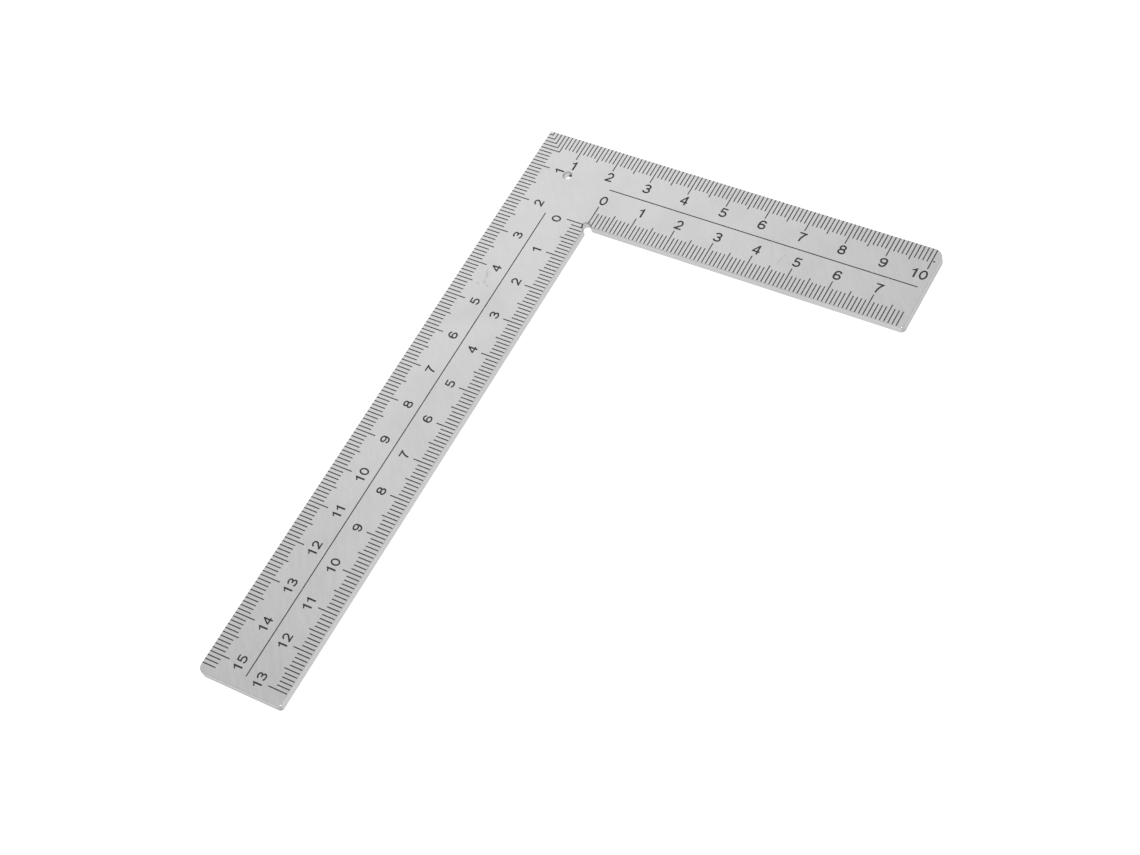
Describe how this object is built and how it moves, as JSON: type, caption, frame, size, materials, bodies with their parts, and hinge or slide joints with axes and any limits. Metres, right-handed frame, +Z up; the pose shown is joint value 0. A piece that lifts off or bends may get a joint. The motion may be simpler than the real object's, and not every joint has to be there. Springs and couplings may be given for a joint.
{
  "type": "steel square ruler",
  "caption": "Flat L-shaped steel square ruler with etched, black-filled millimetre scales on both edges of both arms and a hanging hole at the corner.",
  "frame": {"origin": "middle of the plate's bounding box, on its underside; the outer corner of the square is at x = -51.0 mm, y = +77.625 mm", "axes": "+X along the short arm away from the outer corner, +Y back along the long arm towards the outer corner, +Z up out of the marked face"},
  "size_m": [0.102, 0.1552, 0.002],
  "materials": {
    "blade_steel": "finely brushed, satin, slightly dull at the ends",
    "mark_fill": "black baked enamel, matt, filling etched marks"
  },
  "bodies": {
    "root": {"steel_blade": "blade_steel", "outer_long_graduations": "mark_fill", "inner_long_graduations": "mark_fill", "outer_short_graduations": "mark_fill", "inner_short_graduations": "mark_fill", "outer_long_numerals": "mark_fill", "inner_long_numerals": "mark_fill", "outer_short_numerals": "mark_fill", "inner_short_numerals": "mark_fill", "long_arm_middle_line": "mark_fill", "short_arm_middle_line": "mark_fill", "corner_nest_lines": "mark_fill"}
  },
  "joints": []
}
